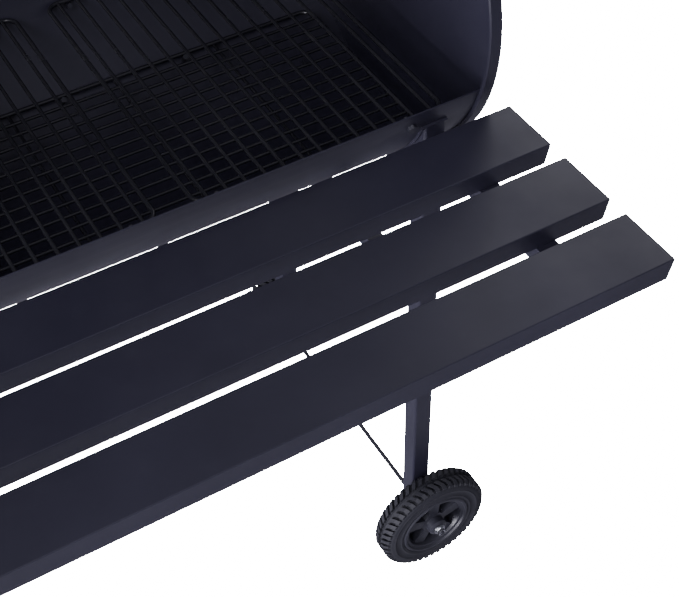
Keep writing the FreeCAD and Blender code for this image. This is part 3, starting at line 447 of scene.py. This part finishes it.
def lathe(profile: Profile, segments: int) -> Part:
    """Turn a closed (radius, height) profile about Z.

    Args:
        profile: points of the closed outline, counter-clockwise seen with the radius to the right.
        segments: steps around.

    Returns:
        Points and faces.
    """
    points, faces, size = [], [], len(profile)
    for step in range(segments):
        turn = 2 * math.pi * step / segments
        points += [Vector((r * math.cos(turn), r * math.sin(turn), h)) for r, h in profile]
    for step in range(segments):
        here, there = step * size, (step + 1) % segments * size
        for i in range(size):
            j = (i + 1) % size
            faces.append([here + i, there + i, there + j, here + j])
    return points, faces


def block(corners: Profile, low: float, high: float) -> Part:
    """Upright prism on a counter-clockwise outline.

    Args:
        corners: outline in X and Y.
        low: height of the base.
        high: height of the top.

    Returns:
        Points and faces.
    """
    size = len(corners)
    points = [Vector((x, y, h)) for h in (low, high) for x, y in corners]
    faces = [list(range(size))[::-1], list(range(size, 2 * size))]
    faces += [[i, (i + 1) % size, size + (i + 1) % size, size + i] for i in range(size)]
    return points, faces


def gather(parts: Sequence[Part], place: Matrix) -> Part:
    """Join parts and put them in place.

    Args:
        parts: points and faces of each part.
        place: transform for all of them.

    Returns:
        Points and faces.
    """
    points, faces = [], []
    for part_points, part_faces in parts:
        start = len(points)
        points += [place @ p for p in part_points]
        faces += [[start + i for i in face] for face in part_faces]
    return points, faces


def soften(made: bpy.types.Object, angle: float) -> bpy.types.Object:
    """Shade an object smoothly except at its sharp edges.

    Args:
        made: the object.
        angle: smallest angle in degrees that stays sharp.

    Returns:
        The same object.
    """
    mesh = made.data
    mesh.shade_smooth()
    mesh.set_sharp_from_angle(angle=math.radians(angle))
    return made


class RingTree:
    """Geometry Nodes tree that repeats a piece around a circle in its XY plane."""

    def __init__(self) -> None:
        """Build the tree."""
        tree = bpy.data.node_groups.new("ring_of_pieces", "GeometryNodeTree")
        self.tree = tree
        face = tree.interface
        face.new_socket("Geometry", in_out="INPUT", socket_type="NodeSocketGeometry")
        self.ids: Dict[str, str] = {}
        for label, kind in (("Count", "NodeSocketInt"), ("Radius", "NodeSocketFloat"),
                            ("Start", "NodeSocketFloat"), ("Step", "NodeSocketFloat"),
                            ("Material", "NodeSocketMaterial")):
            self.ids[label] = face.new_socket(label, in_out="INPUT", socket_type=kind).identifier
        face.new_socket("Geometry", in_out="OUTPUT", socket_type="NodeSocketGeometry")
        entry, leave = add(tree, "NodeGroupInput"), add(tree, "NodeGroupOutput")
        turn = add(tree, "ShaderNodeMath", operation="MULTIPLY_ADD")
        wire(tree, add(tree, "GeometryNodeInputIndex").outputs[0], turn.inputs[0])
        wire(tree, entry.outputs["Step"], turn.inputs[1])
        wire(tree, entry.outputs["Start"], turn.inputs[2])
        spot = add(tree, "ShaderNodeCombineXYZ")
        for axis, operation in enumerate(("COSINE", "SINE")):
            wave = add(tree, "ShaderNodeMath", operation=operation)
            wire(tree, turn.outputs[0], wave.inputs[0])
            times = add(tree, "ShaderNodeMath", operation="MULTIPLY")
            wire(tree, wave.outputs[0], times.inputs[0])
            wire(tree, entry.outputs["Radius"], times.inputs[1])
            wire(tree, times.outputs[0], spot.inputs[axis])
        dots = add(tree, "GeometryNodePoints")
        wire(tree, entry.outputs["Count"], dots.inputs["Count"])
        wire(tree, spot.outputs[0], dots.inputs["Position"])
        angles = add(tree, "ShaderNodeCombineXYZ")
        wire(tree, turn.outputs[0], angles.inputs[2])
        spin = add(tree, "FunctionNodeEulerToRotation")
        wire(tree, angles.outputs[0], spin.inputs[0])
        copies = add(tree, "GeometryNodeInstanceOnPoints")
        wire(tree, dots.outputs[0], copies.inputs["Points"])
        wire(tree, entry.outputs["Geometry"], copies.inputs["Instance"])
        wire(tree, spin.outputs[0], copies.inputs["Rotation"])
        real = add(tree, "GeometryNodeRealizeInstances")
        wire(tree, copies.outputs[0], real.inputs[0])
        paint = add(tree, "GeometryNodeSetMaterial")
        wire(tree, real.outputs[0], paint.inputs["Geometry"])
        wire(tree, entry.outputs["Material"], paint.inputs["Material"])
        wire(tree, paint.outputs[0], leave.inputs[0])

    def bake(self, name: str, piece: Part, count: int,
             radius: float, start: float, step: float, material: bpy.types.Material,
             place: Matrix) -> bpy.types.Object:
        """Repeat a piece and turn the result into a plain mesh.

        Args:
            name: name of the finished object.
            piece: points and faces of one piece, X pointing away from the circle's centre.
            count: how many.
            radius: circle's radius.
            start: first piece's direction in radians.
            step: turn from one piece to the next in radians.
            material: material of the result.
            place: transform of the finished mesh.

        Returns:
            The finished object.
        """
        seed = mesh_object(name + "_one", piece[0], piece[1], material)
        live = seed.modifiers.new("ring", "NODES")
        live.node_group = self.tree
        for label, value in (("Count", count), ("Radius", radius), ("Start", start),
                             ("Step", step), ("Material", material)):
            live[self.ids[label]] = value
        bpy.context.view_layer.update()
        ready = seed.evaluated_get(bpy.context.evaluated_depsgraph_get())
        mesh = bpy.data.meshes.new_from_object(ready)
        seed.modifiers.remove(live)
        bpy.data.objects.remove(seed)
        mesh.name = name
        mesh.transform(place)
        made = bpy.data.objects.new(name, mesh)
        bpy.context.scene.collection.objects.link(made)
        return made


# ------------------------------------------------------------------ the smoker's own pieces
class Paint:
    """Materials by the record's slots."""

    def __init__(self) -> None:
        """Build the groups and every finish."""
        groups = EffectGroups()
        self.by_look = {look: f.material(look.value, groups) for look, f in FINISHES.items()}
        self.marks = MARKS.material("scale_marks", groups)

    def dress(self) -> None:
        """Give each CAD node the finish of its slot."""
        slots = {row["node"]: row["material_slot"] for row in frame["record"]["subparts"]}
        for name, node in frame["nodes"].items():
            material = self.by_look[Look(slots[name])]
            if not node.data.materials:
                node.data.materials.append(material)
            for place in node.material_slots:
                place.material = material
            log.info("%s takes %s", name, material.name)


class End(Enum):
    """The two ends of the axle."""

    FRONT = "front"
    REAR = "rear"


@dataclass
class Wheel:
    """Tread, side walls and spoked centre of one wheel."""

    end: End
    lugs: int = 48
    lug_depth: float = 0.0046
    groove: float = 0.0030
    shoulder: float = 0.0070
    rim_radius: float = 0.0500
    hub_radius: float = 0.0130
    hub_proud: float = 0.0060
    bore: float = 0.0032
    spokes: int = 5
    spoke_root: float = 0.0120
    spoke_tip: float = 0.0180
    spoke_phase: float = 0.25
    recess: float = 0.0070
    web_drop: float = 0.012
    web_thick: float = 0.004
    tyre_seat: float = 0.0003
    casing_steps: int = 112
    centre_steps: int = 72
    sharp_angle: float = 35.0
    low: Vector = field(init=False)
    high: Vector = field(init=False)

    def __post_init__(self) -> None:
        """Read the wheel's box from the frame."""
        self.low, self.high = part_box("tyre_" + self.end.value)

    @property
    def radius(self) -> float:
        """Tyre's outside radius.

        Returns:
            Half the tyre's height.
        """
        return (self.high.z - self.low.z) / 2

    @property
    def width(self) -> float:
        """Tyre's width.

        Returns:
            The tyre's size along the axle.
        """
        return self.high.y - self.low.y

    def place(self) -> Matrix:
        """Stand a piece that is turned about Z on the axle, outer face outwards.

        Returns:
            The transform.
        """
        middle = (self.low + self.high) / 2
        front = self.end is End.FRONT
        inner = self.high.y if front else self.low.y
        turn = Matrix.Rotation(math.pi / 2 if front else -math.pi / 2, 4, "X")
        return Matrix.Translation((middle.x, inner, middle.z)) @ turn

    def tyre_profile(self) -> Profile:
        """Outline of the tyre under its lugs.

        Returns:
            The closed outline as (radius, height).
        """
        w, rim, s = self.width, self.rim_radius + self.tyre_seat, self.shoulder
        top = self.radius - self.lug_depth
        wall = [(rim, 0.0012), (rim + 0.004, 0.0004), (rim + 0.006, 0.0014),
                (rim + 0.012, 0.0010), (rim + 0.014, 0.0002), (rim + 0.016, 0.0010),
                (top - s * 0.75, 0.0010), (top - s * 0.3, 0.0030), (top, s * 0.8)]
        crown = [(top, w / 2 - self.groove), (top - 0.002, w / 2 - self.groove * 0.6)]
        half = wall + crown
        return half + [(r, w - h) for r, h in reversed(half)]

    def lug(self) -> Part:
        """One slanted lug and shoulder tooth on each side of the groove.

        Returns:
            Points and faces.
        """
        w, depth = self.width, self.lug_depth
        pitch = 2 * math.pi * self.radius / self.lugs
        half_lug, tip_inset, sunk, edge_inset = 0.27 * pitch, 0.0004, 0.001, 0.0022
        parts = []
        for side in (-1, 1):
            near, far = side * self.groove, side * (w / 2 - self.shoulder)
            rows = [(near, 0.45 * pitch), (far, -0.05 * pitch),
                    (side * (w / 2 - edge_inset), -0.20 * pitch)]
            drop = [0.0, 0.0, self.shoulder * 0.55]
            points = []
            for (z, lean), down in zip(rows, drop):
                for y in (lean - half_lug, lean + half_lug):
                    points.append(Vector((-tip_inset - down, y, z + w / 2)))
                    points.append(Vector((-depth - sunk - down, y, z + w / 2)))
            faces = [[0, 2, 3, 1], [8, 9, 11, 10]]
            for row in (0, 4):
                faces += [[row, row + 4, row + 6, row + 2], [row + 1, row + 3, row + 7, row + 5],
                          [row, row + 1, row + 5, row + 4], [row + 2, row + 6, row + 7, row + 3]]
            if side < 0:
                faces = [face[::-1] for face in faces]
            parts.append((points, faces))
        return gather(parts, Matrix.Identity(4))

    def centre(self) -> List[Part]:
        """Stepped ring, dished web, spokes and hub.

        Returns:
            Points and faces of each part.
        """
        w, rim, hub = self.width, self.rim_radius, self.hub_radius
        nose = self.width + self.hub_proud
        floor = w - self.recess - self.web_drop
        ring = [(rim - 0.006, 0.0), (rim, 0.0), (rim, w - 0.0015), (rim - 0.0015, w),
                (rim - 0.004, w), (rim - 0.0055, w - 0.0025), (rim - 0.009, w - 0.0035),
                (rim - 0.0105, w - 0.0075), (rim - 0.012, floor), (rim - 0.006, floor - 0.002)]
        web = [(hub - 0.002, floor - self.web_thick), (rim - 0.005, floor - self.web_thick),
               (rim - 0.005, floor), (hub - 0.002, floor)]
        core = [(self.bore, 0.0), (hub, 0.0), (hub, nose - 0.003), (hub - 0.002, nose - 0.001),
                (hub - 0.005, nose), (self.bore, nose)]
        collar = [(hub - 0.001, floor), (hub + 0.006, floor), (hub + 0.004, w - self.recess),
                  (hub - 0.001, w - self.recess + 0.001)]
        parts = [lathe(outline, self.centre_steps) for outline in (ring, web, core, collar)]
        for number in range(self.spokes):
            angle = 2 * math.pi * (number + self.spoke_phase) / self.spokes
            turn = Matrix.Rotation(angle, 4, "Z")
            near, far = hub, rim - 0.009
            corners = [(near, -self.spoke_root / 2), (far, -self.spoke_tip / 2),
                       (far, self.spoke_tip / 2), (near, self.spoke_root / 2)]
            parts.append(gather([block(corners, floor - 0.001, w - self.recess)], turn))
        return parts

    def build(self, paint: Paint, ring: RingTree) -> List[bpy.types.Object]:
        """Make the wheel's pieces and hang them on its body.

        Args:
            paint: materials.
            ring: tree that repeats the lugs.

        Returns:
            The finished pieces.
        """
        name, body = self.end.value, "wheel_" + self.end.value
        rubber, plastic = paint.by_look[Look.TYRE], paint.by_look[Look.RIM]
        tyre = lathe(self.tyre_profile(), self.casing_steps)
        casing = mesh_object("tyre_casing_" + name, *gather([tyre], self.place()), rubber)
        tread = ring.bake("tread_" + name, self.lug(), self.lugs, self.radius, 0.0,
                          2 * math.pi / self.lugs, rubber, self.place())
        centre = mesh_object("wheel_centre_" + name, *gather(self.centre(), self.place()),
                             plastic)
        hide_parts("tyre_" + name)
        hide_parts("wheel_rim_" + name)
        for piece, slot in ((casing, Look.TYRE), (tread, Look.TYRE), (centre, Look.RIM)):
            soften(piece, self.sharp_angle)
            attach(piece, body)
        return [casing, tread, centre]


@dataclass
class DialScale:
    """Printed scale on the thermometer's dial."""

    start: float = 225.0
    sweep: float = 270.0
    fine_marks: int = 28
    fine_size: Tuple[float, float] = (0.003, 0.0004)
    bold_marks: int = 10
    bold_size: Tuple[float, float] = (0.005, 0.0009)
    reach: float = 0.0265
    half_dial: float = 0.0005
    lift: float = 0.00012

    def build(self, paint: Paint, ring: RingTree) -> List[bpy.types.Object]:
        """Make the marks and lay them on the dial.

        Args:
            paint: materials.
            ring: tree that repeats the marks.

        Returns:
            The finished pieces.
        """
        joint = next(j for j in frame["joints"] if j["name"] == "gauge_pointer_turn")
        out = -Vector(joint["axis"]).normalized()
        low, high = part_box("gauge_dial")
        middle = (low + high) / 2
        across = Vector((1.0, 0.0, 0.0))
        up = out.cross(across)
        turn = Matrix((across, up, out)).transposed().to_4x4()
        place = Matrix.Translation(middle + out * (self.half_dial + self.lift)) @ turn
        made = []
        for name, count, size in (("fine_marks", self.fine_marks, self.fine_size),
                                  ("bold_marks", self.bold_marks, self.bold_size)):
            length, wide = size
            corners = [(-length, -wide / 2), (0.0, -wide / 2), (0.0, wide / 2),
                       (-length, wide / 2)]
            step = -math.radians(self.sweep) / (count - 1)
            piece = ring.bake("dial_" + name, block(corners, -self.lift, self.lift), count,
                              self.reach, math.radians(self.start), step, paint.marks, place)
            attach(piece, "lid")
            made.append(piece)
        return made


@dataclass
class WeldRing:
    """Bead around the chimney's elbow where it meets its plate."""

    bead: float = 0.0022
    beads: int = 64
    sides: int = 6
    flatness: float = 0.9
    crown: float = 0.45
    sunk: float = 0.0002
    stand_off: float = 0.0004
    pipe_wall: float = 0.0016
    plate_thick: float = 0.002
    mouth_height: float = 0.056
    sharp_angle: float = 80.0

    def build(self, paint: Paint, ring: RingTree) -> List[bpy.types.Object]:
        """Make the ring of overlapping beads.

        Args:
            paint: materials.
            ring: tree that repeats the bead.

        Returns:
            The finished piece.
        """
        low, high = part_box("chimney_elbow")
        pipe_low, pipe_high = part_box("chimney_pipe")
        radius = (pipe_high.x - pipe_low.x) / 2 - self.pipe_wall
        centre = Vector((low.x + self.plate_thick, (low.y + high.y) / 2,
                         low.z + self.mouth_height))
        place = Matrix.Translation(centre) @ Matrix.Rotation(math.pi / 2, 4, "Y")
        angles = [2 * math.pi / self.sides * i for i in range(self.sides)]
        flat = [(self.bead * math.cos(a), self.bead * self.flatness * math.sin(a))
                for a in angles]
        points, faces = block(flat, -self.sunk, self.bead)
        for point in points[self.sides:]:
            point.x, point.y = point.x * self.crown, point.y * self.crown
        made = ring.bake("weld_elbow", (points, faces), self.beads, radius + self.stand_off, 0.0,
                         2 * math.pi / self.beads, paint.by_look[Look.POWDER], place)
        soften(made, self.sharp_angle)
        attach(made, "frame")
        return [made]


# ------------------------------------------------------------------ studio
@dataclass(frozen=True)
class Lamp:
    """One soft square light.

    Attributes:
        name: light's name.
        spot: where it is.
        aim: what it points at.
        size: side of the square.
        power: watts.
    """

    name: str
    spot: Tuple[float, float, float]
    aim: Tuple[float, float, float]
    size: float
    power: float


LAMPS = (
    Lamp("low_left", spot=(-3.0, -0.9, 0.45), aim=(0.4, -0.3, 0.4), size=1.4, power=250.0),
    Lamp("high_right", spot=(2.5, 1.8, 3.0), aim=(0.1, 0.0, 0.7), size=1.4, power=12.0),
    Lamp("high_left", spot=(-2.0, -1.6, 2.8), aim=(0.3, 0.0, 0.8), size=1.6, power=82.0),
)


@dataclass
class Studio:
    """Floor, lights and camera.  Angles are in degrees, lens and sensor in millimetres."""

    eye: Vector = field(default_factory=lambda: Vector((-0.1951, -0.9595, 1.5925)))
    heading: float = -29.10
    pitch: float = 46.62
    roll: float = -1.59
    lens: float = 71.4
    sensor: float = 36.0
    nearest: float = 0.01
    lamp_tone: Color = (0.93, 0.92, 1.0)
    sky_tone: Color = (0.86, 0.85, 1.0)
    sky: float = 0.40
    floor_tone: Color = (0.36, 0.355, 0.40)
    floor_reach: float = 12.0
    backdrop_tone: Color = (1.0, 1.0, 1.0)
    backdrop: float = 60.0

    def camera(self) -> None:
        """Put the camera at the eye, looking down to the right."""
        a, e, r = (math.radians(v) for v in (self.heading, self.pitch, self.roll))
        back = Vector((math.sin(a) * math.cos(e), -math.cos(a) * math.cos(e), math.sin(e)))
        right = Vector((math.cos(a), math.sin(a), 0.0))
        down = right.cross(back)
        turned = math.cos(r) * right - math.sin(r) * down
        sunk = math.sin(r) * right + math.cos(r) * down
        data = bpy.data.cameras.new("camera")
        data.lens = self.lens
        data.sensor_width = self.sensor
        data.clip_start = self.nearest
        made = bpy.data.objects.new("camera", data)
        rotation = Matrix((turned, -sunk, back)).transposed().to_4x4()
        made.matrix_world = Matrix.Translation(self.eye) @ rotation
        bpy.context.scene.collection.objects.link(made)
        bpy.context.scene.camera = made

    def light(self, lamp: Lamp) -> None:
        """Add one light.

        Args:
            lamp: its place, size and power.
        """
        data = bpy.data.lights.new(lamp.name, "AREA")
        data.size = lamp.size
        data.energy = lamp.power
        data.color = self.lamp_tone
        made = bpy.data.objects.new(lamp.name, data)
        made.location = lamp.spot
        way = Vector(lamp.aim) - Vector(lamp.spot)
        made.rotation_euler = way.to_track_quat("-Z", "Y").to_euler()
        bpy.context.scene.collection.objects.link(made)

    def floor_paint(self) -> bpy.types.Material:
        """White to the camera, soft grey to everything that mirrors or gathers light.

        Returns:
            The floor's material.
        """
        made = bpy.data.materials.new("floor_paint")
        made.use_nodes = True
        tree = made.node_tree
        tree.nodes.clear()
        matt = add(tree, "ShaderNodeBsdfDiffuse")
        matt.inputs["Color"].default_value = tint(self.floor_tone)
        bright = add(tree, "ShaderNodeEmission")
        bright.inputs["Strength"].default_value = self.backdrop
        mix = add(tree, "ShaderNodeMixShader")
        wire(tree, add(tree, "ShaderNodeLightPath").outputs["Is Camera Ray"], mix.inputs[0])
        wire(tree, matt.outputs[0], mix.inputs[1])
        wire(tree, bright.outputs[0], mix.inputs[2])
        wire(tree, mix.outputs[0], add(tree, "ShaderNodeOutputMaterial").inputs["Surface"])
        return made

    def build(self) -> None:
        """Make the whole studio."""
        reach = self.floor_reach
        corners = [(-reach, -reach, 0), (reach, -reach, 0), (reach, reach, 0), (-reach, reach, 0)]
        floor = mesh_object("floor", corners, [(0, 1, 2, 3)], self.floor_paint())
        world = bpy.data.worlds.new("studio")
        world.use_nodes = True
        tree = world.node_tree
        tree.nodes.clear()
        mix = add(tree, "ShaderNodeMixShader")
        wire(tree, add(tree, "ShaderNodeLightPath").outputs["Is Camera Ray"], mix.inputs[0])
        for place, color, strength in ((1, self.sky_tone, self.sky),
                                       (2, self.backdrop_tone, self.backdrop)):
            sky = add(tree, "ShaderNodeBackground")
            sky.inputs["Color"].default_value = tint(color)
            sky.inputs["Strength"].default_value = strength
            wire(tree, sky.outputs[0], mix.inputs[place])
        wire(tree, mix.outputs[0], add(tree, "ShaderNodeOutputWorld").inputs["Surface"])
        bpy.context.scene.world = world
        for lamp in LAMPS:
            self.light(lamp)
        self.camera()


def main() -> None:
    """Dress the frame and build what it doesn't have."""
    logging.basicConfig(level=logging.INFO, format="%(name)s %(message)s")
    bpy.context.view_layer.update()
    paint = Paint()
    paint.dress()
    ring = RingTree()
    builders = [Wheel(End.FRONT), Wheel(End.REAR), DialScale(), WeldRing()]
    for builder in builders:
        for piece in builder.build(paint, ring):
            log.info("%s has %d faces", piece.name, len(piece.data.polygons))
    Studio().build()


if __name__ == "__main__":
    main()
